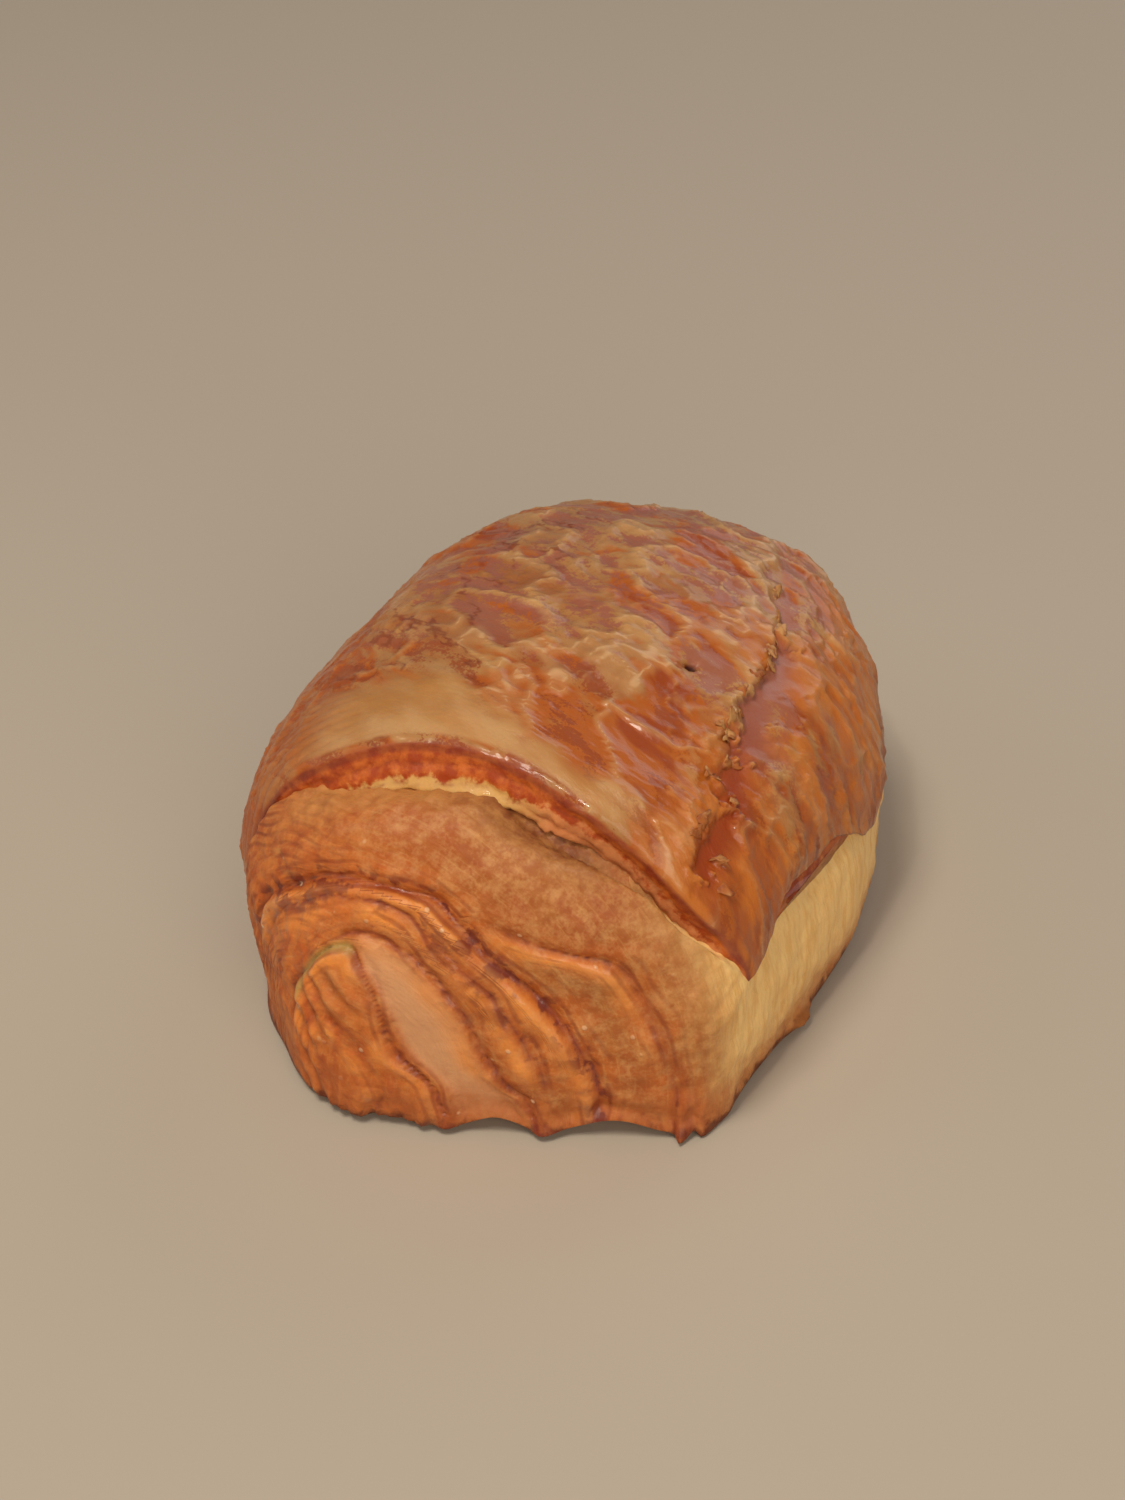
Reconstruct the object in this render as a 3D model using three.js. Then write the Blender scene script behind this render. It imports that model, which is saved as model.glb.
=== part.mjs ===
// A rolled laminated pastry, baked as one piece: a sheet of dough wound round itself into a plump
// roll, with the outermost wrap ending in a free edge low on the right side and a coil of folds
// showing at both ends. Millimetres, +Z up. The origin is on the resting plane under the middle.
// The roll runs along Y, and its wide coiled end faces -Y.

import * as THREE from 'three';
import { ParametricGeometry } from 'three/addons/geometries/ParametricGeometry.js';

// Driving dimensions.
const length = 114;
const width = 91;
const height = 57;
const crustThickness = 2.4;
const freeEdgeStep = 1.0;
const foldGroove = 1.8;
const nearLipGroove = 4.5;
const farLipGroove = 2.7;

// The near end's face leans back by this share toward the right, and rounds back toward the left
// from this place across, by this much per square millimetre.
const slantRight = 0.12;
const roundLeftFrom = -8;
const roundLeft = 0.01;
const slantBlend = 2;

// Mesh density: steps round the roll, and steps along it between two neighbouring rings.
const stepsAround = 50;
const stepsBetweenRings = 3;

// The roll is lofted through rings, from the coil at the near end to the coil at the far end. Every
// size is a share of the whole: along of the length, middle, right and left of half the width,
// core, top and hem of the height. A ring is widest at its core height. Its power is 2 for an
// ellipse and more for a squarer outline. Its hem is how far it stays above the resting plane.
const nearFolds = [
  { along: -0.498, middle: -0.30, right: 0.03, left: 0.03, core: 0.15, top: 0.18, power: 2.0, hem: 0.03 },
  { along: -0.494, middle: -0.27, right: 0.19, left: 0.12, core: 0.14, top: 0.33, power: 2.0, hem: 0.025 },
  { along: -0.485, middle: -0.23, right: 0.35, left: 0.23, core: 0.12, top: 0.46, power: 2.0, hem: 0.02 },
  { along: -0.469, middle: -0.17, right: 0.51, left: 0.38, core: 0.11, top: 0.56, power: 1.9, hem: 0.015 },
  { along: -0.447, middle: -0.10, right: 0.70, left: 0.53, core: 0.12, top: 0.67, power: 1.8, hem: 0.01 },
  { along: -0.421, middle: -0.05, right: 0.88, left: 0.69, core: 0.15, top: 0.75, power: 2.2, hem: 0.005 },
  { along: -0.382, middle: 0.00, right: 0.92, left: 0.82, core: 0.21, top: 0.85, power: 2.3, hem: 0.0 },
  { along: -0.338, middle: 0.03, right: 0.93, left: 0.91, core: 0.27, top: 0.93, power: 2.3, hem: 0.0 },
];

const body = [
  { along: -0.265, middle: 0.04, right: 0.95, left: 0.95, core: 0.30, top: 0.97, power: 2.3, hem: 0.0 },
  { along: -0.160, middle: 0.04, right: 0.99, left: 0.97, core: 0.30, top: 0.99, power: 2.3, hem: 0.0 },
  { along: -0.050, middle: 0.05, right: 1.02, left: 0.98, core: 0.30, top: 1.00, power: 2.3, hem: 0.0 },
  { along: 0.060, middle: 0.06, right: 1.03, left: 0.97, core: 0.30, top: 1.00, power: 2.3, hem: 0.0 },
  { along: 0.170, middle: 0.08, right: 0.98, left: 0.94, core: 0.30, top: 0.98, power: 2.35, hem: 0.0 },
  { along: 0.270, middle: 0.11, right: 0.88, left: 0.87, core: 0.30, top: 0.95, power: 2.4, hem: 0.0 },
  { along: 0.360, middle: 0.13, right: 0.75, left: 0.75, core: 0.29, top: 0.88, power: 2.4, hem: 0.0 },
];

const farFolds = [
  { along: 0.415, middle: 0.14, right: 0.66, left: 0.67, core: 0.27, top: 0.79, power: 2.3, hem: 0.0 },
  { along: 0.448, middle: 0.14, right: 0.58, left: 0.60, core: 0.24, top: 0.70, power: 2.2, hem: 0.005 },
  { along: 0.470, middle: 0.15, right: 0.47, left: 0.49, core: 0.21, top: 0.60, power: 2.1, hem: 0.01 },
  { along: 0.486, middle: 0.17, right: 0.33, left: 0.34, core: 0.19, top: 0.47, power: 2.0, hem: 0.02 },
  { along: 0.494, middle: 0.19, right: 0.18, left: 0.18, core: 0.18, top: 0.32, power: 2.0, hem: 0.025 },
  { along: 0.498, middle: 0.20, right: 0.03, left: 0.03, core: 0.18, top: 0.21, power: 2.0, hem: 0.03 },
];

const rings = [...nearFolds, ...body, ...farFolds];
const nearLip = nearFolds.length;
const farLip = nearFolds.length + body.length - 1;

// How far below its core a ring would reach if nothing stood in its way, and how square it is there.
const bellyShare = 0.62;
const bellyPower = 3.2;

// The outermost wrap, as angles round the ring: 0 is the right side, and a quarter turn is the top.
// It covers everything from its free edge over the top to where it thins out under the base. Along
// the roll it ends at both lips, over a short blend measured in rings.
const freeEdge = -0.02;
const freeEdgeBlend = 0.12;
const wrapEnd = Math.PI * 1.3;
const wrapEndBlend = 0.4;
const lipOverhang = 0.75;
const lipBlend = 0.35;

// The grooves between the folds of the two coils: the ring where each lies, how many rings it
// spans to each side, and its depth. They fade out low on the sides, where the folds press together.
const grooves = [
  { at: nearLip - 5, span: 0.9, depth: foldGroove },
  { at: nearLip - 3.4, span: 0.9, depth: foldGroove },
  { at: nearLip - 0.9, span: 0.7, depth: nearLipGroove },
  { at: farLip + 0.9, span: 0.7, depth: farLipGroove },
  { at: farLip + 3, span: 0.9, depth: foldGroove },
];
const grooveFadeLow = -0.1;
const grooveFadeHigh = 0.5;

const smooth = (low, high, value) => THREE.MathUtils.smoothstep(value, low, high);

const signedPower = (value, power) => Math.sign(value) * Math.abs(value) ** power;

// One value of the loft at a place between two rings, on a curve through four neighbours.
function ringValue(name, place) {
  const last = rings.length - 1;
  const start = Math.min(Math.floor(place), last - 1);
  const share = place - start;
  const before = rings[Math.max(start - 1, 0)][name];
  const from = rings[start][name];
  const to = rings[start + 1][name];
  const after = rings[Math.min(start + 2, last)][name];
  const slopeIn = (to - before) / 2;
  const slopeOut = (after - from) / 2;
  const square = share * share;
  const cube = square * share;
  return (
    (2 * cube - 3 * square + 1) * from +
    (cube - 2 * square + share) * slopeIn +
    (3 * square - 2 * cube) * to +
    (cube - square) * slopeOut
  );
}

// 1 over the arc that the outermost wrap covers, and 0 below its free edge and under the base.
function wrapCover(angle) {
  const turn = angle > Math.PI * 1.5 ? angle - Math.PI * 2 : angle;
  const pastFreeEdge = smooth(freeEdge, freeEdge + freeEdgeBlend, turn);
  const pastEnd = smooth(wrapEnd - wrapEndBlend, wrapEnd, turn);
  return pastFreeEdge * (1 - pastEnd);
}

// How much of the outermost wrap is there at a place along the roll: it stops at both lips.
function wrapReach(place) {
  const nearEdge = smooth(nearLip - lipOverhang, nearLip - lipOverhang + lipBlend, place);
  const farEdge = smooth(farLip + lipOverhang - lipBlend, farLip + lipOverhang, place);
  return nearEdge * (1 - farEdge);
}

function grooveDepth(place, angle) {
  const valley = (groove) => groove.depth * Math.max(0, 1 - Math.abs(place - groove.at) / groove.span);
  const depth = grooves.reduce((sum, groove) => sum + valley(groove), 0);
  return depth * smooth(grooveFadeLow, grooveFadeHigh, Math.sin(angle));
}

// How far the near end's face leans and rounds back at a place across the roll.
function endShift(across, place) {
  const nearShare = 1 - smooth(nearLip - slantBlend, nearLip + slantBlend, place);
  const lean = slantRight * Math.max(across, roundLeftFrom);
  const rounding = roundLeft * Math.min(across - roundLeftFrom, 0) ** 2;
  return nearShare * (lean + rounding);
}

// A point of the pastry's outside. Round runs from 0 to 1 about the roll, and along from the near
// coil's middle to the far coil's.
function pastrySurface(round, along, target) {
  const place = along * (rings.length - 1);
  const angle = (1 - round) * Math.PI * 2;
  const ring = (name) => ringValue(name, place);
  const isPole = along === 0 || along === 1;
  const isUpper = Math.sin(angle) > 0;
  const power = 2 / (isUpper ? ring('power') : bellyPower);
  const outward = signedPower(Math.cos(angle), power);
  const upward = signedPower(Math.sin(angle), power);

  // The outermost wrap stands proud of the dough under it by its thickness, and less at its free edge.
  const wrap = wrapCover(angle) * wrapReach(place);
  const freeSide = smooth(0, 1, outward) * (1 - upward);
  const sunk = THREE.MathUtils.lerp(crustThickness, freeEdgeStep, freeSide) * (1 - wrap);
  const sides = (outward > 0 ? ring('right') : ring('left')) * (width / 2);
  const core = ring('core') * height;
  const climb = isUpper ? ring('top') * height - core : bellyShare * ring('right') * height;
  const reach = isPole ? 0 : Math.max(sides - sunk, sides / 2);
  const rise = isPole ? 0 : Math.max(climb - (isUpper ? sunk : 0), climb / 2);

  const x = ring('middle') * (width / 2) + reach * outward;
  const z = Math.max(core + rise * upward, ring('hem') * height);
  const inward = place < rings.length / 2 ? 1 : -1;
  const groove = isPole ? 0 : inward * grooveDepth(place, angle);
  target.set(x, ring('along') * length + endShift(x, place) + groove, z);
}

// The loft, moved so that the origin is under its middle, on the plane that it rests on.
function pastryGeometry() {
  const stepsAlong = (rings.length - 1) * stepsBetweenRings;
  const geometry = new ParametricGeometry(pastrySurface, stepsAround, stepsAlong);
  geometry.computeBoundingBox();
  const middle = geometry.boundingBox.getCenter(new THREE.Vector3());
  geometry.translate(-middle.x, -middle.y, -geometry.boundingBox.min.z);
  return geometry;
}

const bakedDough = new THREE.MeshStandardMaterial({ color: 0xc4783a, roughness: 0.45, metalness: 0 });

const pastry = new THREE.Mesh(pastryGeometry(), bakedDough);
pastry.name = 'croissant';

const group = new THREE.Group();
group.add(pastry);

export default group;
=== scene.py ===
import math
from functools import partial
from types import SimpleNamespace

import bpy
import numpy as np
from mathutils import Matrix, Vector


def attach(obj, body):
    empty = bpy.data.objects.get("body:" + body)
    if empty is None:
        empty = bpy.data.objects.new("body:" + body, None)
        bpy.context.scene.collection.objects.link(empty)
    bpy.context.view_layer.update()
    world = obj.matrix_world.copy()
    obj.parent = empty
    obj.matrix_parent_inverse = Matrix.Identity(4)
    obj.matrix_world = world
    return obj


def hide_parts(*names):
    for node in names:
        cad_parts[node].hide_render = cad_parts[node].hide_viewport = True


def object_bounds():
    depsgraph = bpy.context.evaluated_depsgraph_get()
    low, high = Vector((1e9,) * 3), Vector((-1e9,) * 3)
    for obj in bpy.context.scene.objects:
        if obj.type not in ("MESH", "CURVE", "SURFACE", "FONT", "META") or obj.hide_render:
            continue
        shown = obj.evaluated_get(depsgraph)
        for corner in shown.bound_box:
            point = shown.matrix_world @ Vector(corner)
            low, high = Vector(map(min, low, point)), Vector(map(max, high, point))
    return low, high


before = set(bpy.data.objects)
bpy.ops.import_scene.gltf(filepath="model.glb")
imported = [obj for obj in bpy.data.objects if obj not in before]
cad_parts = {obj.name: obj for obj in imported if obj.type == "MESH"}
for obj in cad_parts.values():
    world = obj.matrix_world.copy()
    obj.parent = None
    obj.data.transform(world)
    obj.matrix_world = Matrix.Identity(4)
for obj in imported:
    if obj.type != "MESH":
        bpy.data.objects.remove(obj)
cadLow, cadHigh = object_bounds()
print("frame loaded, box in mm:", [round(1000 * (b - a), 1) for a, b in zip(cadLow, cadHigh)])

mm = 0.001
pastryName = "croissant"


# small helpers: blends, noise and meshes
def smooth(low, high, value):
    # from 0 at low to 1 at high, which may be the smaller of the two
    share = np.clip((value - low) / (high - low), 0, 1)
    return share * share * (3 - 2 * share)


def band(value, low, lowTop, highTop, high):
    # rises from 0 to 1 over the first two limits and falls again over the last two
    return smooth(low, lowTop, value) * smooth(high, highTop, value)


def hill(value, centre, width):
    # a smooth bump of height 1
    return np.exp(-(((value - centre) / width) ** 2))


def signedPower(value, power):
    return np.sign(value) * np.abs(value) ** power


def latticeValue(ix, iy, iz, seed):
    # a fixed pseudo-random value from -1 to 1 at each whole-number place
    h = ix.astype(np.uint32) * np.uint32(374761393)
    h = h + iy.astype(np.uint32) * np.uint32(668265263)
    h = h + iz.astype(np.uint32) * np.uint32(2246822519)
    h = h + np.uint32((seed * 3266489917) & 0xFFFFFFFF)
    h = (h ^ (h >> np.uint32(13))) * np.uint32(1274126177)
    h = h ^ (h >> np.uint32(16))
    return h / 2147483647.5 - 1


def oneOctave(x, y, z, seed):
    # value noise, from -1 to 1, with one lump per unit
    x, y, z = np.broadcast_arrays(x, y, z)
    fx, fy, fz = np.floor(x), np.floor(y), np.floor(z)
    ix, iy, iz = (f.astype(np.int64) & 0xFFFFFFFF for f in (fx, fy, fz))
    tx, ty, tz = (t * t * t * (t * (6 * t - 15) + 10) for t in (x - fx, y - fy, z - fz))
    total = 0
    for dx in (0, 1):
        for dy in (0, 1):
            for dz in (0, 1):
                weight = (tx if dx else 1 - tx) * (ty if dy else 1 - ty) * (tz if dz else 1 - tz)
                total = total + weight * latticeValue(ix + dx, iy + dy, iz + dz, seed)
    return total


def noise(x, y, z, seed, octaves=1, roughness=0.5):
    # value noise with finer and finer octaves added, each weaker by the roughness
    total, weight, reach, scale = 0, 1, 0, 1
    for octave in range(octaves):
        total = total + weight * oneOctave(x * scale, y * scale, z * scale, seed + octave)
        reach += weight
        weight *= roughness
        scale *= 2.03
    return total / reach


def cellNoise(x, y, seed):
    # distance to the nearest scattered point, one per unit square, and that point's own value
    x, y = np.broadcast_arrays(x, y)
    fx, fy = np.floor(x), np.floor(y)
    nearest = np.full(x.shape, 9.0)
    value = np.zeros(x.shape)
    for dx in (-1, 0, 1):
        for dy in (-1, 0, 1):
            ix = (fx + dx).astype(np.int64) & 0xFFFFFFFF
            iy = (fy + dy).astype(np.int64) & 0xFFFFFFFF
            none = np.zeros_like(ix)
            px = fx + dx + 0.5 + 0.45 * latticeValue(ix, iy, none, seed)
            py = fy + dy + 0.5 + 0.45 * latticeValue(ix, iy, none + 1, seed)
            distance = np.hypot(x - px, y - py)
            closer = distance < nearest
            nearest = np.where(closer, distance, nearest)
            value = np.where(closer, latticeValue(ix, iy, none + 2, seed), value)
    return nearest, value


def gridNormals(points):
    # unit normals of a grid of points, rows along the roll and columns round it, facing outward
    along = np.gradient(points, axis=0)
    around = np.gradient(points, axis=1)
    normal = np.cross(along, around)
    return normal / (np.linalg.norm(normal, axis=-1, keepdims=True) + 1e-9)


def runningLength(points, axis):
    # mm travelled along a grid of points, from its first row or column
    steps = np.linalg.norm(np.diff(points, axis=axis), axis=-1)
    return np.insert(np.cumsum(steps, axis), 0, 0, axis)


def newObject(name, data):
    made = bpy.data.objects.new(name, data)
    bpy.context.scene.collection.objects.link(made)
    return made


def meshPiece(name, points, faces, attributes):
    # one object from points in mm in the row frame, with a float attribute for each named value
    data = bpy.data.meshes.new(name)
    data.from_pydata((points * mm).tolist(), [], faces)
    for title, values in attributes.items():
        layer = data.attributes.new(title, "FLOAT", "POINT")
        layer.data.foreach_set("value", np.asarray(values, np.float32).ravel())
    data.polygons.foreach_set("use_smooth", np.ones(len(data.polygons), bool))
    data.update()
    return newObject(name, data)


def gridFaces(rows, columns, closeRows, closeColumns):
    # quads of a grid stored row by row; it may close on itself either way
    r = np.arange(rows if closeRows else rows - 1)
    c = np.arange(columns if closeColumns else columns - 1)
    r, c = (v.ravel() for v in np.meshgrid(r, c, indexing="ij"))
    r2, c2 = (r + 1) % rows, (c + 1) % columns
    corners = [r2 * columns + c, r2 * columns + c2, r * columns + c2, r * columns + c]
    return np.stack(corners, 1).tolist()


# the roll: the same loft as the CAD, through rings
roll = {
    "length": 114,
    "width": 91,
    "height": 57,
    # one value for each ring, from the near coil's middle to the far coil's, as shares of the whole
    "along": [-0.498, -0.494, -0.485, -0.469, -0.447, -0.421, -0.382, -0.338, -0.265, -0.160, -0.050,
              0.060, 0.170, 0.270, 0.360, 0.415, 0.448, 0.470, 0.486, 0.494, 0.498],
    "middle": [-0.30, -0.27, -0.23, -0.17, -0.10, -0.05, 0.00, 0.03, 0.04, 0.04, 0.05,
               0.06, 0.08, 0.11, 0.13, 0.14, 0.14, 0.15, 0.17, 0.19, 0.20],
    "right": [0.03, 0.19, 0.35, 0.51, 0.70, 0.88, 0.92, 0.93, 0.95, 0.99, 1.02,
              1.03, 0.98, 0.88, 0.75, 0.66, 0.58, 0.47, 0.33, 0.18, 0.03],
    "left": [0.03, 0.12, 0.23, 0.38, 0.53, 0.69, 0.82, 0.91, 0.95, 0.97, 0.98,
             0.97, 0.94, 0.87, 0.75, 0.67, 0.60, 0.49, 0.34, 0.18, 0.03],
    "core": [0.15, 0.14, 0.12, 0.11, 0.12, 0.15, 0.21, 0.27, 0.30, 0.30, 0.30,
             0.30, 0.30, 0.30, 0.29, 0.27, 0.24, 0.21, 0.19, 0.18, 0.18],
    "top": [0.18, 0.33, 0.46, 0.56, 0.67, 0.75, 0.85, 0.93, 0.97, 0.99, 1.00,
            1.00, 0.98, 0.95, 0.88, 0.79, 0.70, 0.60, 0.47, 0.32, 0.21],
    "power": [2.0, 2.0, 2.0, 1.9, 1.8, 2.2, 2.3, 2.3, 2.3, 2.3, 2.3,
              2.3, 2.35, 2.4, 2.4, 2.3, 2.2, 2.1, 2.0, 2.0, 2.0],
    "hem": [0.03, 0.025, 0.02, 0.015, 0.01, 0.005, 0, 0, 0, 0, 0,
            0, 0, 0, 0, 0, 0.005, 0.01, 0.02, 0.025, 0.03],
    "bellyShare": 0.62,
    "bellyPower": 3.2,
    "slantRight": 0.12,
    "roundLeftFrom": -8,
    "roundLeft": 0.01,
    "slantBlend": 2,
    "nearLip": 8,
    "baseRounding": 1.0,
}
ringCount = len(roll["along"])


def curveBetween(here, there, slopeIn, slopeOut, t):
    # the smooth curve from here to there with these slopes, at the share t of the way
    curve = (2 * t ** 3 - 3 * t ** 2 + 1) * here + (t ** 3 - 2 * t ** 2 + t) * slopeIn
    return curve + (3 * t ** 2 - 2 * t ** 3) * there + (t ** 3 - t ** 2) * slopeOut


def ringValue(name, place):
    # one value of the loft at a place between two rings, on a curve through four neighbours
    table = np.array(roll[name], float)
    last = ringCount - 1
    start = np.clip(np.floor(place).astype(int), 0, last - 1)
    before, here = table[np.maximum(start - 1, 0)], table[start]
    there, after = table[start + 1], table[np.minimum(start + 2, last)]
    return curveBetween(here, there, (there - before) / 2, (after - here) / 2, place - start)


def loftPoint(place, angle, inset=0.0):
    # a point of the roll's outside, or of a skin that lies inset mm under it
    place, angle = np.broadcast_arrays(place, angle)
    upper = np.sin(angle) > 0
    power = 2 / np.where(upper, ringValue("power", place), roll["bellyPower"])
    outward = signedPower(np.cos(angle), power)
    upward = signedPower(np.sin(angle), power)
    sides = np.where(outward > 0, ringValue("right", place), ringValue("left", place)) * roll["width"] / 2
    core = ringValue("core", place) * roll["height"]
    belly = roll["bellyShare"] * ringValue("right", place) * roll["height"]
    climb = np.where(upper, ringValue("top", place) * roll["height"] - core, belly)
    reach = np.maximum(sides - inset, sides / 2)
    rise = np.maximum(climb - np.where(upper, inset, 0), climb / 2)
    x = ringValue("middle", place) * roll["width"] / 2 + reach * outward
    z = core + rise * upward
    hem = ringValue("hem", place) * roll["height"]
    spare = z - hem
    rounding = roll["baseRounding"]
    z = hem + np.where(spare > 6 * rounding, spare, (spare + np.sqrt(spare ** 2 + rounding ** 2)) / 2)
    nearShare = smooth(roll["nearLip"] + roll["slantBlend"], roll["nearLip"] - roll["slantBlend"], place)
    lean = roll["slantRight"] * np.maximum(x, roll["roundLeftFrom"])
    rounded = roll["roundLeft"] * np.minimum(x - roll["roundLeftFrom"], 0) ** 2
    y = ringValue("along", place) * roll["length"] + nearShare * (lean + rounded)
    return np.stack([x, y, z], -1)


def centreOfRoll():
    # the loft's own box, so that it can be set on the CAD's box
    place = np.linspace(0, ringCount - 1, 200)[:, None]
    angle = np.linspace(0, 2 * math.pi, 240)[None, :]
    points = loftPoint(place, angle).reshape(-1, 3)
    return (points.min(0) + points.max(0)) / 2


cadCentre = np.array((cadLow + cadHigh) / 2) / mm
rollShift = (cadCentre - centreOfRoll()) * [1, 1, 0]
finePlaces = np.linspace(0, ringCount - 1, 4001)
fineAlong = ringValue("along", finePlaces)


def placeOfAlong(along):
    return np.interp(along, fineAlong, finePlaces)


# the dough: both coils of folds, the pale side and the base
dough = {
    "name": "rolled_dough",
    "nearRows": 128,
    "bodyRows": 74,
    "farRows": 62,
    "upperColumns": 232,
    "flankColumns": 34,
    "baseColumns": 46,
    "flankAngle": 0.34,
    # lumps, dimples and grain: size and height in mm, then the seed and octaves of their noise
    "swellings": [(12, 1.0, 31, 3), (4.2, 0.42, 35, 3), (1.5, 0.18, 32, 2)],
    "layerSpacing": 1.75,
    "layerHeight": 0.26,
    "sideInset": 1.0,
    "underCrust": 3.4,
    "hollowUnderLip": -0.7,
    "farHollow": 1.4,
    "creviceDepth": 0.5,
    "creviceTurn": 1.35,
    "creviceWidth": 0.26,
    "windowDepth": 0.9,
    "crumbSize": 1.7,
    "crumbHeight": 0.55,
    # arches along the front of the base: x, width and lift in mm
    "arches": [(7.5, 4.0, 2.2), (24, 6.2, 2.8), (34.6, 0.5, 1.1)],
    # feet pushed forward: x, width and reach in mm
    "feet": [(0.7, 1.7, 1.4), (14.5, 2.0, 1.8), (33.3, 0.9, 2.2), (36.0, 1.0, 1.5)],
    # the knobbly stretch of the base: where it starts, is full, is still full and ends, in x mm
    "knobs": (-19, -17, -3, -1),
    "tuckedUnder": 3.2,
    "scrapAlong": -14.5,
    "scrapReach": 1.6,
    "mmPerRadian": 24,
    # how far the surface is evened out to find its high and low ground, and the mm that count as one
    "evenPasses": 24,
    "raisedStep": 0.5,
}

# The folds of both coils, the near one's first. Each runs round the roll at these places between the rings,
# by angle in degrees from the right side; depth and width are in mm, and ridge is the raised fold inside it.
foldParts = ("angles", "places", "depth", "width", "ridge", "start", "stop", "red")
folds = [dict(zip(foldParts, row)) for row in (
    ([-25, 5, 35, 60, 80, 95, 110, 130, 155, 185],
     [3.9, 3.8, 3.7, 3.7, 4.2, 4.45, 4.6, 4.7, 4.8, 4.9], 2.3, 2.4, 0.8, -30, 178, 1.0),
    ([-25, -5, 10, 25, 40, 55, 70], [5.1, 4.9, 4.7, 4.7, 4.8, 4.3, 4.1], 1.7, 2.2, 0.4, -30, 60, 0.7),
    ([-25, -8, 8, 45, 75, 95, 120], [3.4, 3.2, 2.7, 2.7, 3.0, 3.2, 3.2], 1.9, 1.8, 0.9, -30, 108, 0.8),
    ([-30, 0, 25, 55, 80, 100, 135, 170],
     [1.9, 1.8, 1.3, 1.5, 2.1, 2.9, 2.5, 2.3], 1.4, 1.2, 0.6, -35, 165, 0.8),
    ([-30, 40, 90, 140, 190], [0.9, 0.7, 0.8, 1.2, 1.1], 0.9, 1.1, 0.5, -35, 190, 0.4),
    ([20, 60, 85, 110, 150], [3.2, 3.3, 3.8, 4.2, 4.4], 0.7, 1.0, 0.25, 14, 158, 0.9),
    ([-20, 60, 120, 200], [16.7, 16.5, 16.8, 16.6], 2.4, 2.2, 0.6, -20, 200, 0.9),
    ([-20, 60, 120, 200], [17.7, 17.9, 17.6, 17.9], 2.0, 1.9, 0.6, -20, 200, 0.8),
    ([-20, 60, 120, 200], [18.9, 18.6, 18.9, 18.7], 1.4, 1.2, 0.5, -20, 200, 0.6),
)]

# The outermost wrap: thick at both lips, thin at its free edge low on the right.
crust = {
    "name": "glazed_crust",
    "columns": 372,
    "outerRows": 186,
    "nearRimRows": 26,
    "farRimRows": 16,
    "innerRows": 10,
    # how deep in the lip the inside counts, from 0 to 1
    "innerRim": 0.35,
    "nearLipAngles": [10, 40, 70, 97, 125, 155, 200],
    "nearLipPlaces": [7.2, 6.4, 6.9, 7.6, 6.9, 6.1, 5.7],
    "farLipPlace": 14.75,
    # the free edge's angle in degrees, by mm along the roll
    "edgeAlong": [-36, -20, -6, 10, 24, 48],
    "edgeAngles": [10, 18, 15, 5, 11, 14],
    "startAngle": 0.2,
    # the torn valley's angle in degrees, by mm along the roll
    "valleyAlong": [-38, -15, 8, 40],
    "valleyAngles": [36, 48, 53, 60],
    "flakeCover": 0.02,
    "lipLayers": 3.5,
    "mmPerDegree": 0.62,
    # mm along the roll, angle in degrees, size in mm
    "hole": (-4, 67, 0.7),
    "holeDepth": 1.6,
    "aboveFloor": 0.02,
    "endAngle": 3.62,
    "lipThickness": 7.0,
    "farLipThickness": 4.6,
    "bodyThickness": 4.4,
    "edgeThickness": 1.3,
    "proud": -0.75,
    "lipForward": 2.7,
    "farLipForward": 1.2,
    "ledgeReach": 1.6,
    "thinnest": 0.9,
    "tuckDepth": 0.9,
    "evenPasses": 22,
    "raisedStep": 0.4,
}


def smoothCurve(value, knots, heights):
    # a smooth line through a few set points, level past its ends
    knots, heights = np.array(knots, float), np.array(heights, float)
    slopes = np.gradient(heights, knots)
    slopes[0] = slopes[-1] = 0
    value = np.clip(value, knots[0], knots[-1])
    start = np.clip(np.searchsorted(knots, value, side="right") - 1, 0, len(knots) - 2)
    span = knots[start + 1] - knots[start]
    slopeIn, slopeOut = span * slopes[start], span * slopes[start + 1]
    return curveBetween(heights[start], heights[start + 1], slopeIn, slopeOut, (value - knots[start]) / span)


def nearLipPlace(turn):
    return smoothCurve(np.degrees(turn), crust["nearLipAngles"], crust["nearLipPlaces"])


def foldShare(fold, angle):
    # a fold fades in and out over fadeAngle at its two ends
    fadeAngle = 14
    degrees = np.degrees(angle)
    starts = smooth(fold["start"] - fadeAngle, fold["start"] + 1, degrees)
    stops = smooth(fold["stop"] - fadeAngle, fold["stop"] + fadeAngle, degrees)
    return starts * (1 - stops)


def turnFromBase(angle):
    # the angle from just past the middle of the base, so that it runs on over the right side and the top
    return np.where(angle > 1.5 * math.pi, angle - 2 * math.pi, angle)


def lipThickness(turn):
    # thick over the top, thinner down to the pointed end at the right and among the folds at the left
    thinnest = 1.2
    share = (0.6 + 0.4 * smooth(0.1, 1.4, turn)) * smooth(2.9, 1.95, turn)
    return thinnest + (crust["lipThickness"] - thinnest) * share


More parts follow.
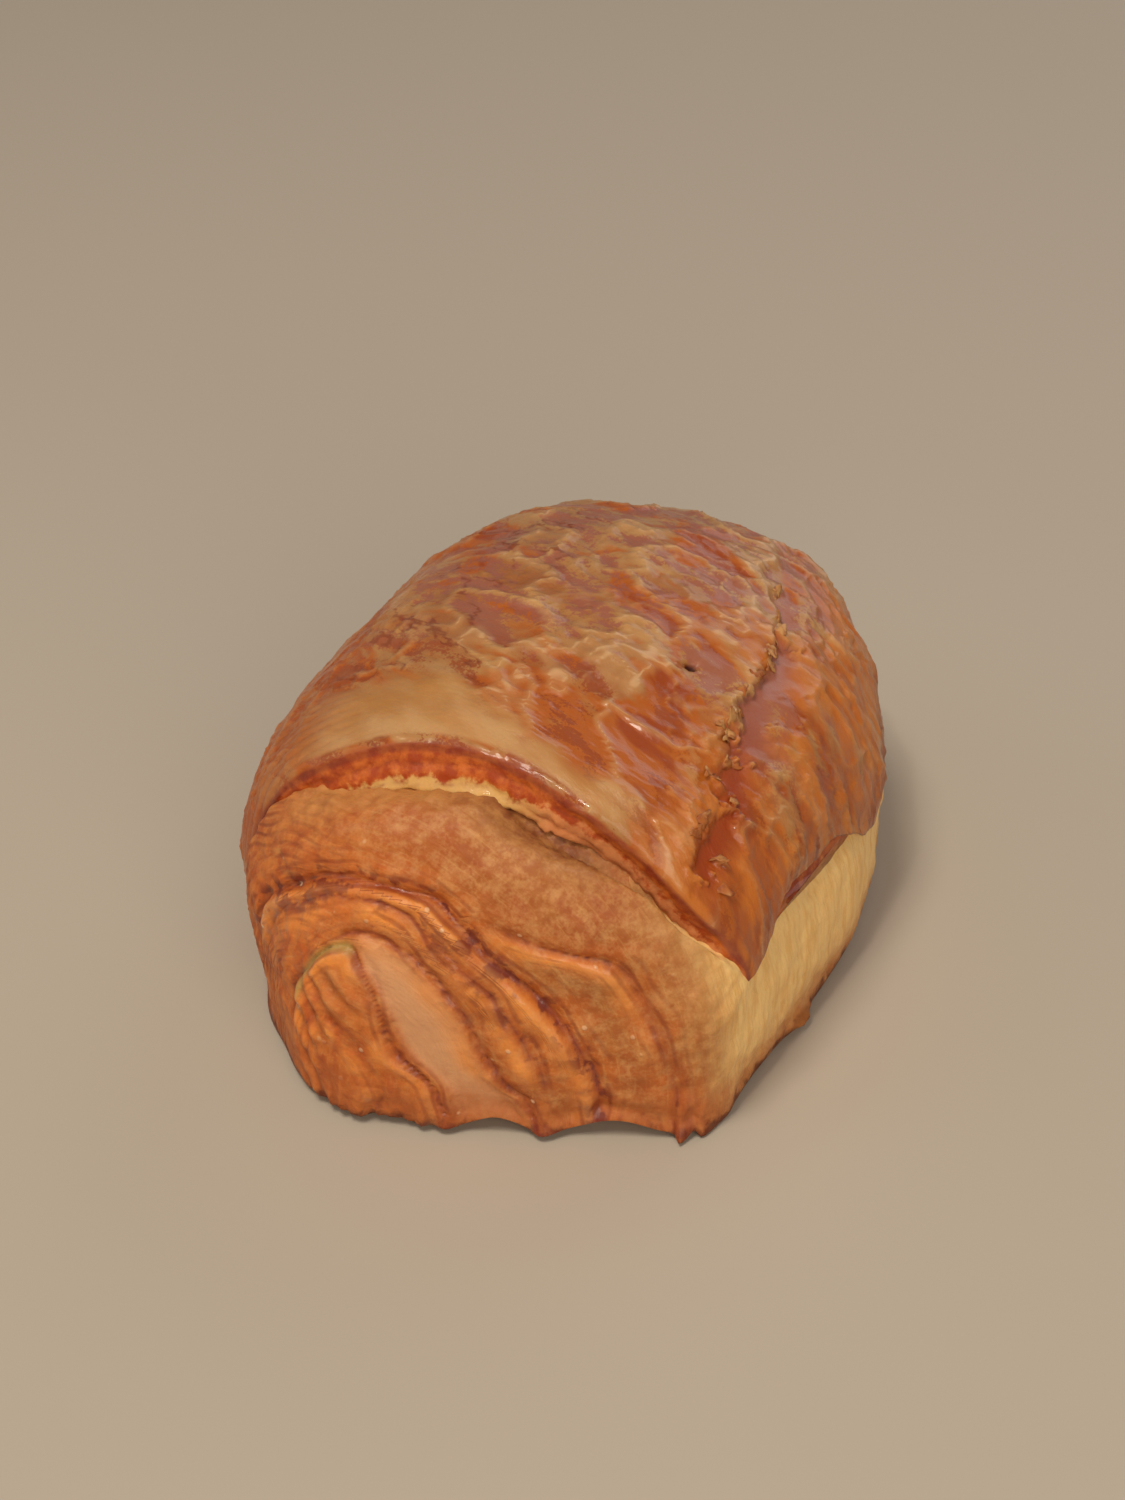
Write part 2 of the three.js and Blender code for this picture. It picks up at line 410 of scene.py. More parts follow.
def doughInset(place, turn):
    # how far the dough lies under the roll's outside: little at the pale side, more under the crust,
    # and most in the hollow behind the near lip
    overTop = band(turn, 0.05, 0.5, 3.1, 3.5)
    fromLip = place - nearLipPlace(turn)
    underCrust = smooth(-0.2, 0.5, fromLip) * smooth(15.4, 14.5, place)
    leftward = smooth(2.75, 1.75, turn)
    hollowReach = 0.4 + 1.8 * smooth(0.8, 1.5, turn)
    hollow = np.clip((fromLip + hollowReach + 0.1) / hollowReach, 0, 1) ** 1.9 * smooth(2.6, 1.2, fromLip)
    hollow = hollow * smooth(0.12, 0.7, turn) * leftward
    farHollow = band(place, 14.0, 14.6, 14.9, 16.2) * overTop
    pale = dough["sideInset"] * band(place, 5.5, 7.5, 15, 17)
    overCrust = band(turn, -0.1, 0.5, 3.3, 3.6)
    inset = pale + overCrust * underCrust * (dough["underCrust"] - pale)
    depth = dough["hollowUnderLip"] + lipThickness(turn) + 1.2 * smooth(1.45, 0.8, turn)
    depth = depth + dough["creviceDepth"] * hill(turn, dough["creviceTurn"], dough["creviceWidth"])
    depth = depth + 0.6 * noise(turn * 6, 0.3, 0.8, 15)
    return inset + hollow * (depth - inset) + farHollow * dough["farHollow"]


def tuckedUnder(points):
    # the near coil turns in under itself at the lower left
    x, y, z = np.moveaxis(points, -1, 0)
    share = smooth(-6, -34, y) * smooth(28, 0, z) * smooth(10, 32, -x)
    return points + share[..., None] * [dough["tuckedUnder"], 0, 0]


def rowPlaces():
    # rows are close together on the coils, and closer still where the rings are far apart
    bodyStart, bodyEnd, last, crowding = 8.4, 14.2, ringCount - 1, 0.92
    near = bodyStart * np.linspace(0, 1, dough["nearRows"]) ** crowding
    body = np.linspace(bodyStart, bodyEnd, dough["bodyRows"] + 2)[1:-1]
    far = last - (last - bodyEnd) * np.linspace(1, 0, dough["farRows"]) ** crowding
    return np.concatenate([near, body, far])


def columnAngles():
    # columns are close together over the top and down the flanks, and wide apart under the base
    flank = dough["flankAngle"] * np.linspace(0, 1, dough["flankColumns"] + 1)[1:] ** 1.4
    upper = np.linspace(0, math.pi, dough["upperColumns"])
    base = np.linspace(math.pi + flank[-1], 2 * math.pi - flank[-1], dough["baseColumns"] + 2)
    return np.concatenate([upper, math.pi + flank, base[1:-1], 2 * math.pi - flank[::-1]])


def blurred(values, passes):
    # a grid of values evened out over its neighbours
    for _ in range(passes):
        edge = np.pad(values, 1, mode="edge")
        values = (edge[:-2, 1:-1] + edge[2:, 1:-1] + edge[1:-1, :-2] + edge[1:-1, 2:] + 2 * values) / 6
    return values


def makeDough():
    places, angles = rowPlaces(), columnAngles()
    place, angle = np.meshgrid(places, angles, indexing="ij")
    turn = turnFromBase(angle)
    points = loftPoint(place, angle, doughInset(place, turn)) + rollShift
    ringed = np.concatenate([points[:, -1:], points, points[:, :1]], 1)
    normal = gridNormals(ringed)[:, 1:-1]
    arc = runningLength(points, 0)

    axes = np.moveaxis(points, -1, 0)
    x, y, z = axes
    wobble = 0.8 * noise(*axes / 9, 11) + 0.22 * noise(*axes / 3, 12)
    height, crease, ridge, foldRed = np.zeros((4, *place.shape))
    nearest = np.full(place.shape, 9.0)
    foldArcs = []
    for fold in folds:
        line = smoothCurve(np.degrees(turn[0]), fold["angles"], fold["places"])
        lineArc = np.array([np.interp(line[c], places, arc[:, c]) for c in range(len(angles))])
        foldArcs.append(lineArc)
        distance = (arc - lineArc + wobble) * (1 if line.mean() < ringCount / 2 else -1)
        share = foldShare(fold, turn)
        steep = np.where(distance > 0, 1.2, 0.6) * fold["width"]
        fades = np.clip(0.62 + 0.75 * noise(turn * 3.1, distance / 20, fold["depth"] * 3, 13), 0.12, 1)
        away = np.abs(distance)
        cleft = 0.55 * np.exp(-away / (0.4 * steep)) + 0.45 * np.exp(-away / (1.6 * steep))
        height -= share * fold["depth"] * cleft * (0.6 + 0.4 * fades)
        height += share * fades * fold["ridge"] * 0.7 * hill(distance, -1.9, 0.9)
        ridge = np.maximum(ridge, share * fades * hill(distance, -2.3, 1.6))
        second = 0.7 * np.exp(-np.abs(distance - 1.5 - 0.8 * wobble) / 0.35)
        thin = np.maximum(np.exp(-np.abs(distance + 0.1) / 0.5), second * (1 - fades))
        crease = np.maximum(crease, share * fold["red"] * thin)
        closer = (away < np.abs(nearest)) & (share > 0.05)
        nearest = np.where(closer, distance, nearest)
        foldRed = np.maximum(foldRed, share * fold["red"] * hill(distance, 0, 4.5))

    # a thin pale skin is stretched between the eye's rim and the next fold
    nextFold, eyeRim = foldArcs[2:4]
    eyeShare = (arc - eyeRim) / (nextFold - eyeRim)
    degrees = np.degrees(turn)
    window = band(eyeShare, 0.06, 0.22, 0.76, 0.94) * band(degrees, -25, 5, 84, 104)
    height -= dough["windowDepth"] * window
    crease = crease * (1 - window)
    # the eye's upper rim is a cut edge with bare crumb showing
    cut = hill(arc, eyeRim - 0.7, 0.9) * band(degrees, 90, 100, 142, 156)

    # fine laminations press together down the left flank
    atNear = smooth(10.5, 8.6, place)
    pressed = smooth(1.7, 2.5, turn) * atNear * smooth(2.9, 3.8, place)
    phase = arc / dough["layerSpacing"] + 0.8 * noise(*axes / 16, 21)
    layerWave = np.abs(np.sin(math.pi * phase))
    strength = 0.6 + 0.4 * noise(*axes / 5, 22)
    height += dough["layerHeight"] * (pressed + 0.06 * atNear) * (layerWave - 0.6) * strength
    line = np.exp(-layerWave / 0.16) * strength * (pressed + 0.12 * atNear)

    # short upright lumps under the eye, low on the left
    lumpsShare = smooth(-2.6, -1.9, -np.abs(turn - math.pi * 1.15)) * smooth(2.8, 1.8, place)
    upright = np.sin(math.pi * (x / 4.6 + 0.14 * z + 0.5 * noise(x / 6, z / 9, 0.5, 25))) ** 2
    height += 0.7 * lumpsShare * (upright - 0.6) * smooth(0.3, 0.9, place)
    line = np.maximum(line, 0.5 * lumpsShare * (1 - upright) ** 3)

    for size, amount, seed, octaves in dough["swellings"]:
        height += amount * (1 - 0.8 * window) * noise(*axes / size, seed, octaves)
    fromLip = place - nearLipPlace(turn)
    hollow = band(fromLip, -1.5, -0.4, 1.0, 2.0) * smooth(0.5, 1.0, turn)
    hollow = hollow * band(turn, 0.8, 1.2, 2.1, 2.6)
    # a strip of painted shadow on the dough where the lip overhangs most
    shade = hollow * band(turn, 0.8, 1.15, 1.4, 1.7)
    height += dough["crumbHeight"] * hollow * noise(*axes / dough["crumbSize"], 38, 3, 0.6)
    raised = (height - blurred(height, dough["evenPasses"])) / dough["raisedStep"]

    # the base stays flat, and the poles stay one point
    poleFade = band(place, 0, 0.5, ringCount - 1.5, ringCount - 1)
    points = points + normal * (height * smooth(0.3, 3.5, z) * poleFade)[..., None]
    lift = sum(amount * hill(x, centre, width) for centre, width, amount in dough["arches"])
    reach = sum(amount * hill(x, centre, width) for centre, width, amount in dough["feet"])
    knobs = band(x, *dough["knobs"])
    knobNoise = noise(x / 2.4, 0.2, 0.9, 26, 3, 0.6)
    lift += knobs * 0.9 * np.clip(-knobNoise, 0, 1)
    reach += knobs * (0.5 + 1.3 * knobNoise)
    frontShare = smooth(-30, -44, y) * smooth(10, 0, z)
    # a torn scrap stands out low on the right
    scrapNoise = 1 + noise(y / 1.5, z / 1.5, 0.4, 28, 3, 0.6)
    scrap = hill(y, dough["scrapAlong"], 3.2) * hill(z, 1.6, 1.5) * (x > 0)
    points[..., 0] += dough["scrapReach"] * scrap * scrapNoise
    points = tuckedUnder(points)
    points[..., 1] -= reach * frontShare
    points[..., 2] = np.maximum(points[..., 2], 0.0) + lift * frontShare

    rows, columns = points.shape[:2]
    body = points[1:-1].reshape(-1, 3)
    count = len(body)
    everything = np.vstack([body, points[0].mean(0), points[-1].mean(0)])
    faces = gridFaces(rows - 2, columns, False, True)
    nextColumn = ((np.arange(columns) + 1) % columns).tolist()
    lastRow = (rows - 3) * columns
    faces += [[count, c, n] for c, n in enumerate(nextColumn)]
    faces += [[count + 1, lastRow + n, lastRow + c] for c, n in enumerate(nextColumn)]

    pale = band(place, 6.6, 8.2, 14.2, 15.8) * smooth(0.7, 0.35, turn)
    pale = np.maximum(pale, smooth(4.9, 6.9, place) * smooth(1.0, 0.3, turn)) * smooth(-0.7, -0.4, turn)
    orange = smooth(1.35, 2.4, turn) * smooth(10.5, 8.6, place) + smooth(2.2, 0.9, place)
    marks = dict(fold=nearest, foldRed=foldRed, orange=np.clip(orange, 0, 1), cut=cut, scrap=scrap,
                 crease=crease, ridge=ridge, line=line, raised=raised, window=window, pale=pale,
                 pressed=pressed, hollow=hollow, shade=shade, layerArc=arc,
                 roundArc=turn * dough["mmPerRadian"])
    for title, values in marks.items():
        marks[title] = np.concatenate([values[1:-1].ravel(), [values[0].mean(), values[-1].mean()]])
    return meshPiece(dough["name"], everything, faces, marks)


def crestNoise(x, y, z, seed, octaves, reach):
    # sharp crests with rounded hollows between them, from 0 to 1
    return (1 - np.minimum(np.abs(noise(x, y, z, seed, octaves)) / reach, 1)) ** 1.9


def crustRelief(side, along, turn, toNear):
    # the baked surface of the outermost wrap, in mm over its smooth shape, and where each finish lies;
    # side is mm round the roll from its top line, positive to the left
    degrees = np.degrees(turn)
    leftward = smooth(102, 150, degrees)
    rightSide = smooth(60, 24, degrees)
    lumps = 1.3 * noise(side / 22, along / 22, 0, 41, 3)
    warpX = 3.4 * noise(side / 14, along / 14, 1.5, 42, 2)
    warpY = 2.4 * noise(side / 12, along / 12, 7.5, 43, 2)
    # over the top the folds slant toward the near right; down the left they follow the roll
    u, v = side + warpX, along + warpY - 9 * np.tanh(side / 18)
    topCrest = crestNoise(u / 12, v / 7.5, 0.8, 61, 3, 0.4)
    leftCrest = crestNoise(u / 6, v / 17, 2.8, 62, 2, 0.42)
    crest = topCrest * (1 - leftward) + leftCrest * leftward
    smallCrest = crestNoise(u / 6, v / 3.8, 5.8, 67, 2, 0.45) * (1 - leftward)
    smallCrest = smallCrest + crestNoise(u / 3, v / 11, 6.8, 68, 2, 0.5) * leftward
    fineCrest = crestNoise(u / 3.0, v / 1.7, 2.8, 64, 2, 0.45)

    field = noise(u / 15, v / 6.5, 0.3, 51, 5, 0.6)
    flake = smooth(-0.02, 0.02, field - crust["flakeCover"])
    bubble, bubbleValue = cellNoise(u / 10, v / 7, 71)
    blister = (bubbleValue > 0.35) * np.sqrt(np.clip(1 - (bubble / 0.42) ** 2, 0, 1))

    # the lengthwise valley where a layer has torn, with a jagged raised edge on its left
    valleyAngle = smoothCurve(along, crust["valleyAlong"], crust["valleyAngles"])
    fromValley = (degrees - valleyAngle) * crust["mmPerDegree"] + 1.6 * noise(along / 11, side / 20, 6.3, 82)
    fromValley = fromValley + 2.3 * noise(along / 4.2, side / 9, 3.3, 81, 4, 0.62)
    valleyEnds = band(along, -37, -33, 12, 32)
    valleyWidth = 3.6 - 0.03 * (along + 38)
    valleyWidth = valleyWidth * (1 + 0.5 * noise(along / 5, side / 3, 8.8, 87, 4, 0.65))
    valley = ((fromValley - 0.2) / valleyWidth) ** np.where(fromValley > 0.2, 4, 2)
    tongues = noise(side / 5 + along / 14, along / 3.4, 9.9, 89, 4, 0.55)
    valley = valleyEnds * np.exp(-valley) * smooth(0.24, 0.16, tongues + 0.1 * smooth(-22, 0, along))
    tornEdge = band(fromValley, 2.4, 2.9, 8, 24) * valleyEnds

    # a smooth pale band lies behind the near lip, broad left of the top, and a pool of amber right of it
    behindLip = toNear + 3.5 * noise(side / 7, along / 9, 0.5, 83, 3)
    borderReach = 3.5 + 9 * smooth(84, 104, degrees)
    border = smooth(1.0, 2.2, toNear) * smooth(borderReach + 5, borderReach, behindLip)
    border = border * band(degrees, 52, 70, 118, 146)
    amber = band(behindLip, 4, 7, 15, 24) * band(degrees, 54, 62, 84, 98)
    amber = np.maximum(amber, smooth(24, 11, behindLip) * smooth(42, 33, degrees))

    rough = (1 - 0.85 * border) * (1 - 0.9 * valley) * (1 - 0.35 * amber)
    calmFilm = smooth(90, 106, degrees)
    small = (0.3 * smallCrest + 0.14 * fineCrest) * (1 - 0.5 * calmFilm)
    relief = lumps + rough * (0.3 * flake + (0.85 - 0.2 * calmFilm) * crest + small + 0.2 * blister)
    relief += -0.7 * valley + 0.4 * tornEdge + 0.4 * border
    # streaks run down the right flank, finest by the free edge
    streak = noise(u / 26, v / 2.4, 4.4, 85, 3)
    relief += rightSide * (0.45 * streak - 0.3 - 0.5 * rough * crest)
    fineStreak = noise(u / 16, v / 1.1, 6.4, 88, 3)
    lowRight = smooth(36, 14, degrees)
    relief += 0.3 * lowRight * fineStreak
    pleats = np.maximum(smooth(0.05, 0.32, -streak) * rightSide, smooth(0.1, 0.4, fineStreak) * lowRight)
    pleats = pleats * (1 - valley)
    # a small deep hole
    holeAlong, holeAngle, holeSize = crust["hole"]
    away = np.hypot((degrees - holeAngle) * crust["mmPerDegree"], along - holeAlong)
    pit = np.exp(-((away * (1 + 0.25 * noise(side, along, 0.5, 86)) / holeSize) ** 4))
    relief -= crust["holeDepth"] * pit
    crest = crest * (1 - valley) * (1 - 0.7 * border)
    crest = np.maximum(crest, np.maximum(0.75 * smallCrest, 0.6 * fineCrest) * rough * (1 - 0.5 * calmFilm))
    # loose scraps of skin stand along the torn edge
    torn = hill(fromValley, valleyWidth + 0.5, 0.8) * valleyEnds
    inValley = band(tongues, 0.12, 0.16, 0.18, 0.24) * valleyEnds * np.exp(-((fromValley / 3.6) ** 4))
    return relief, dict(flake=flake * (1 - valley), valley=valley, border=border, crest=crest, pit=pit,
                        amber=amber, pleats=pleats, loose=np.maximum(torn, 0.22 * inValley))


def makeCrust():
    columns, outer = crust["columns"], crust["outerRows"]
    angle = np.linspace(crust["startAngle"], crust["endAngle"], columns)
    share = np.linspace(0, 1, outer)[:, None]
    nearLip = nearLipPlace(angle) + 0.05 * noise(angle * 4.1, 0.2, 0.4, 91)
    nearLip = nearLip + 0.035 * noise(angle * 15, 0.6, 0.4, 92, 3)
    farLip = crust["farLipPlace"] + 0.14 * noise(angle * 3.3, 0.2, 0.9, 93)
    nearAlong, farAlong = ringValue("along", nearLip), ringValue("along", farLip)
    spread = share - 0.04 * np.sin(2 * math.pi * share)
    place = placeOfAlong(nearAlong + (farAlong - nearAlong) * spread)
    # the free edge wanders low on the right, and is torn into small steps
    y = ringValue("along", place) * roll["length"]
    edge = np.radians(smoothCurve(y, crust["edgeAlong"], crust["edgeAngles"]))
    edge = edge + 0.035 * noise(y / 7, 0.3, 0.1, 95, 4, 0.6)
    turn = edge + (crust["endAngle"] - edge) * np.linspace(0, 1, columns)
    smoothPoints = loftPoint(place, turn)
    normal = gridNormals(smoothPoints)
    across, toNear = runningLength(smoothPoints, 1), runningLength(smoothPoints, 0)
    topColumn = np.argmin(np.abs(turn - math.pi / 2), axis=1)
    side = across - across[np.arange(outer), topColumn][:, None]
    toFar = toNear[-1:] - toNear
    along = smoothPoints[..., 1]
    relief, marks = crustRelief(side, along, turn, toNear)

    # relief settles toward the pressed laminations at the left and toward both lips
    calm = 0.4 + 0.6 * smooth(0.5, 7, toNear) * smooth(0.5, 6, toFar)
    leftward = smooth(2.0, 2.8, turn)
    phase = (toNear + 0.25 * side) / 2.3 + 0.9 * noise(side / 12, along / 12, 0.5, 97)
    layerWave = np.abs(np.sin(math.pi * phase))
    nearLeft = smooth(1.75, 2.6, turn) * smooth(26, 6, toNear)
    relief = relief * calm * (1 - 0.4 * leftward) + 0.3 * (layerWave - 0.6) * nearLeft
    line = np.exp(-layerWave / 0.18) * nearLeft
    relief = crust["proud"] + relief * (0.3 + 0.7 * smooth(0, 2.5, across))
    relief = relief - 0.4 * smooth(1.1, 0, toNear) - 0.5 * smooth(2.0, 0, toFar)
    raised = (relief - blurred(relief, crust["evenPasses"])) / crust["raisedStep"]
    endFade = smooth(crust["endAngle"], crust["endAngle"] - 0.45, turn)
    relief = relief * endFade - crust["tuckDepth"] * (1 - endFade)
    skin = smoothPoints + normal * relief[..., None]

    bodyThick = np.interp(smooth(0, 9, across), (0, 1), (crust["edgeThickness"], crust["bodyThickness"]))
    bodyThick = np.minimum(bodyThick, crust["thinnest"] + 3 * endFade)
    farThick = np.minimum(crust["farLipThickness"], bodyThick + 2)
    thick = bodyThick + smooth(16, 2, toNear) * (lipThickness(turn) - bodyThick)
    thick = thick + smooth(12, 2, toFar) * (farThick - bodyThick)
    thick = np.minimum(thick, crust["thinnest"] + 7 * smooth(-0.5, 10, across))

    def rim(edge, within, rows, forwardBulge, ledgeReach, seed):
        # rows that turn over the lip's edge, from the outer skin down its face, in stacked layers; edge and
        # within are two rows of the skin, and the lip points from within to edge
        outward, thickness = normal[edge], thick[edge]
        forward = skin[edge] - skin[within]
        forward = forward - (forward * outward).sum(-1, keepdims=True) * outward
        forward /= np.linalg.norm(forward, axis=-1, keepdims=True) + 1e-9
        down = np.linspace(0, 1, rows + 2)[1:-1][:, None]
        x, z = skin[edge][:, 0], skin[edge][:, 2]
        wave = 0.06 * noise(x / 6, z / 6, 0.7, seed) + 0.03 * noise(x / 2, z / 2, 0.7, seed + 7)
        ridges = np.abs(np.sin(math.pi * (down + wave) * crust["lipLayers"])) - 0.6
        lump = noise(x / 3.4, z / 3.4, down * 2.5, seed + 1, 3)
        ragged = smooth(0.5, 1.0, down) * noise(x / 2.4, z / 2.4, down * 1.2, seed + 3, 4, 0.6)
        slant = smooth(0, 0.65, down) * (1 - 0.8 * smooth(0.74, 1.0, down))
        ledge = ledgeReach * band(turn[edge], 1.35, 1.6, 1.95, 2.2) * band(down, 0.5, 0.7, 0.85, 1.0)
        roughFace = 0.4 * noise(x / 1.6, z / 1.6, down * 4, seed + 5, 3) * smooth(0.1, 0.3, down)
        bulge = forwardBulge * slant + ledge + 0.42 * ridges * (0.7 + lump) + 1.5 * lump * down + roughFace
        bulge = 0.25 + bulge * np.minimum(thickness / 5, 1)
        depth = thickness * down * (1 + 0.25 * ragged)
        points = skin[edge] + forward * bulge[..., None] - outward * depth[..., None]
        return points, np.broadcast_to(down, bulge.shape), np.exp(-(ridges + 0.6) / 0.14)

    nearRim, nearDown, nearCrack = rim(
        0, 3, crust["nearRimRows"], crust["lipForward"], crust["ledgeReach"], 101)
    farRim, farDown, farCrack = rim(-1, -4, crust["farRimRows"], crust["farLipForward"], 0, 111)
    innerIndex = np.linspace(0, outer - 1, crust["innerRows"]).round().astype(int)
    inner = smoothPoints[innerIndex] + (crust["proud"] - thick[innerIndex])[..., None] * normal[innerIndex]
    for edge in (0, -1):
        inner[edge] = skin[edge] - normal[edge] * thick[edge][:, None]

    # one closed loop of rows: along the skin, over the far lip, back inside, over the near lip
    loop = tuckedUnder(np.concatenate([skin, farRim, inner[::-1], nearRim[::-1]], 0) + rollShift)
    loop[..., 2] = np.maximum(loop[..., 2], crust["aboveFloor"])
    rows = len(loop)
    faces = gridFaces(rows, columns, True, False)
    for column, flip in ((0, True), (columns - 1, False)):
        faces += ladderFaces([r * columns + column for r in range(rows)], flip)

    corner = smooth(0.5, 0.05, toNear) + smooth(1.4, 0.2, toFar)
    marks.update(raised=raised, corner=corner, sideArc=side, alongArc=along, edgeRight=smooth(9, 0, across),
                 leftward=smooth(1.9, 2.7, turn), line=line, rim=np.zeros_like(relief))
    # values of the skin carry on over both lips, unless they have their own there or stop at the edge
    onLips = {"line": (farCrack, nearCrack), "rim": (farDown, nearDown),
              "loose": (0 * farDown, 0 * nearDown), "raised": (0 * farDown, 0 * nearDown)}
    for title, values in marks.items():
        far, near = onLips.get(title, (values[-1:] + 0 * farDown, values[:1] + 0 * nearDown))
        inside = np.full((crust["innerRows"], columns), crust["innerRim"] if title == "rim" else 0.0)
        marks[title] = np.concatenate([values, far, inside, near[::-1]], 0)
    return meshPiece(crust["name"], loop.reshape(-1, 3), faces, marks)


def ladderFaces(polygon, flip):
    # closes a long thin ring of vertices with quads between its two sides
    faces = []
    low, high = 0, len(polygon) - 1
    while high - low >= 3:
        faces.append([polygon[low], polygon[low + 1], polygon[high - 1], polygon[high]])
        low, high = low + 1, high - 1
    if high - low == 2:
        faces.append([polygon[low], polygon[low + 1], polygon[high]])
    return [face[::-1] for face in faces] if flip else faces


doughPiece = makeDough()
print("dough made:", len(doughPiece.data.polygons), "faces")
crustPiece = makeCrust()
print("crust made:", len(crustPiece.data.polygons), "faces")


def hexColour(code):
    # an sRGB hex value as linear colour
    parts = [int(code[i:i + 2], 16) / 255 for i in (0, 2, 4)]
    return [p / 12.92 if p <= 0.04045 else ((p + 0.055) / 1.055) ** 2.4 for p in parts] + [1]


# short words for the kinds of node used most, with their settings
nodeKinds = {
    "mix": ("ShaderNodeMix", {"data_type": "RGBA"}),
    "ramp": ("ShaderNodeMapRange", {}),
    "softRamp": ("ShaderNodeMapRange", {"interpolation_type": "SMOOTHSTEP"}),
    "times": ("ShaderNodeMath", {"operation": "MULTIPLY"}),
    "timesPlus": ("ShaderNodeMath", {"operation": "MULTIPLY_ADD"}),
    "minus": ("ShaderNodeMath", {"operation": "SUBTRACT"}),
    "unsigned": ("ShaderNodeMath", {"operation": "ABSOLUTE"}),
    "larger": ("ShaderNodeMath", {"operation": "MAXIMUM"}),
    "power": ("ShaderNodeMath", {"operation": "POWER"}),
    "pingPong": ("ShaderNodeMath", {"operation": "PINGPONG"}),
    "noise": ("ShaderNodeTexNoise", {}),
    "mapping": ("ShaderNodeMapping", {}),
    "combine": ("ShaderNodeCombineXYZ", {}),
    "separate": ("ShaderNodeSeparateXYZ", {}),
    "randomNumber": ("FunctionNodeRandomValue", {"data_type": "FLOAT"}),
}


def addNode(tree, kind, *inputs, settings=None, output=None, **named):
    # a node with its settings; inputs go to its open sockets in order, or by name with _ for a space;
    # a socket is linked, and a colour is given as its hex code
    fullKind, ownSettings = nodeKinds.get(kind, (kind, {}))
    node = tree.nodes.new(fullKind)
    for key, value in {**ownSettings, **(settings or {})}.items():
        setattr(node, key, value)
    filled = list(zip([socket for socket in node.inputs if socket.enabled], inputs))
    filled += [(node.inputs[key.replace("_", " ")], value) for key, value in named.items()]
    for socket, value in filled:
        if isinstance(value, bpy.types.NodeSocket):
            tree.links.new(value, socket)
        else:
            socket.default_value = hexColour(value) if socket.type == "RGBA" else value
    if not node.outputs:
        return node
    return node.outputs[output] if output else next(socket for socket in node.outputs if socket.enabled)


# loose flakes: scraps of the glazed skin that have lifted along the torn edges
flakes = {
    "name": "crust_flakes",
    "seed": 7,
    "perSquareMetre": 260000.0,
    "length": 0.0034,
    "width": 0.0026,
    "thickness": 0.00022,
    "droop": -55.0,
    "taper": 480.0,
    "ragged": 0.0011,
    "smallest": 0.4,
    "largest": 1.0,
    "liftFrom": 0.0,
    "liftTo": -0.38,
}


def flakeTree(material):
    tree = bpy.data.node_groups.new("looseFlakes", "GeometryNodeTree")
    tree.interface.new_socket("Geometry", in_out="INPUT", socket_type="NodeSocketGeometry")
    for title, value in flakes.items():
        if title != "name":
            kind = "NodeSocketInt" if title == "seed" else "NodeSocketFloat"
            tree.interface.new_socket(title, in_out="INPUT", socket_type=kind)
    tree.interface.new_socket("Geometry", in_out="OUTPUT", socket_type="NodeSocketGeometry")
    given = tree.nodes.new("NodeGroupInput").outputs
    add = partial(addNode, tree)
    # one flake: a thin bent slab, narrower at its tip, with its root at the origin
    size = add("combine", given["length"], given["width"], given["thickness"])
    slab = add("GeometryNodeMeshCube", size, 6, 4, 2)
    place = add("GeometryNodeInputPosition")
    outward, sideways = add("separate", place), add("separate", place, output="Y")
    bend = add("times", add("times", outward, outward), given["droop"])
    forward = add("times", given["length"], 0.3)
    narrower = add("timesPlus", add("times", outward, given["taper"]), -0.5, -0.4)
    shift = add("combine", forward, add("times", narrower, sideways), bend)
    slab = add("GeometryNodeSetPosition", slab, Offset=shift)
    # flakes stand where the surface is marked loose
    loose = add("GeometryNodeInputNamedAttribute", "loose", settings={"data_type": "FLOAT"})
    density = add("times", loose, given["perSquareMetre"])
    scatter = add("GeometryNodeDistributePointsOnFaces", given["Geometry"], Density=density,
                  Seed=given["seed"], settings={"distribute_method": "RANDOM"}).node
    spin = add("randomNumber", 0.0, 2 * math.pi, Seed=1)
    lift = add("randomNumber", given["liftFrom"], given["liftTo"], Seed=2)
    grow = add("randomNumber", given["smallest"], given["largest"], Seed=3)
    turned = add("FunctionNodeEulerToRotation", add("combine", 0.0, lift, spin))
    turned = add("FunctionNodeRotateRotation", scatter.outputs["Rotation"], turned,
                 settings={"rotation_space": "LOCAL"})
    copies = add("GeometryNodeInstanceOnPoints", scatter.outputs["Points"], Instance=slab, Rotation=turned,
                 Scale=grow)
    real = add("GeometryNodeRealizeInstances", copies)
    # each outline is torn differently
    drift = add("noise", add("GeometryNodeInputPosition"), Scale=900.0, Detail=2.0, output="Color")
    centred = add("ShaderNodeVectorMath", drift, (0.5, 0.5, 0.5), settings={"operation": "SUBTRACT"})
    tear = add("ShaderNodeVectorMath", centred, Scale=given["ragged"], settings={"operation": "SCALE"})
    real = add("GeometryNodeSetPosition", real, Offset=tear)
    real = add("GeometryNodeSetShadeSmooth", real)
    real = add("GeometryNodeSetMaterial", real, Material=material)
    add("NodeGroupOutput", Geometry=real)
    return tree


def makeFlakes(host, material):
    # the tree runs on a copy of the crust, and its result is kept as a plain mesh
    tree = flakeTree(material)
    carrier = host.copy()
    bpy.context.scene.collection.objects.link(carrier)
    modifier = carrier.modifiers.new("looseFlakes", "NODES")
    modifier.node_group = tree
    for socket in tree.interface.items_tree:
        if socket.in_out == "INPUT" and socket.name in flakes:
            modifier[socket.identifier] = flakes[socket.name]
    evaluated = carrier.evaluated_get(bpy.context.evaluated_depsgraph_get())
    data = bpy.data.meshes.new_from_object(evaluated)
    bpy.data.objects.remove(carrier)
    data.name = flakes["name"]
    data.materials.clear()
    data.materials.append(material)
    data.polygons.foreach_set("material_index", np.zeros(len(data.polygons), np.int32))
    return newObject(flakes["name"], data)


